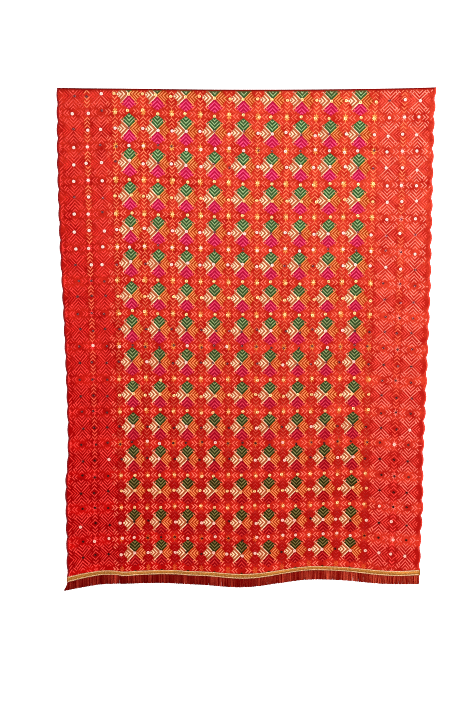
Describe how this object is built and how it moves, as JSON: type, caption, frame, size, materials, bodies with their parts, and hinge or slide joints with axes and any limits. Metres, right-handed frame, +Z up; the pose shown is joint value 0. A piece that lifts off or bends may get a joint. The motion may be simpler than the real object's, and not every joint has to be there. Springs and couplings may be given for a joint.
{
  "type": "embroidered shawl folded in half",
  "caption": "Long rectangular phulkari shawl folded once across its middle and laid flat, with scalloped sides, a braid and a thread fringe at each end.",
  "frame": {"origin": "the middle of the rectangle that the laid shawl covers, on the surface it lies on", "axes": "+Z up from the surface, +Y along the shawl's length towards the fold, +X to the right as seen from above with the fold at the far end"},
  "size_m": [0.936, 1.2793, 0.0185],
  "materials": {
    "embroidered_cloth": "matte crepe under satin-stitched silk floss in red, orange, green, pink and cream, with gold and mirror sequins",
    "gold_braid": "woven metallised thread, satin",
    "fringe_thread": "twisted thread, soft sheen"
  },
  "bodies": {
    "root": {"front_half": "embroidered_cloth", "back_half": "embroidered_cloth", "front_braid": "gold_braid", "back_braid": "gold_braid", "front_fringe": "fringe_thread", "back_fringe": "fringe_thread"}
  },
  "joints": []
}
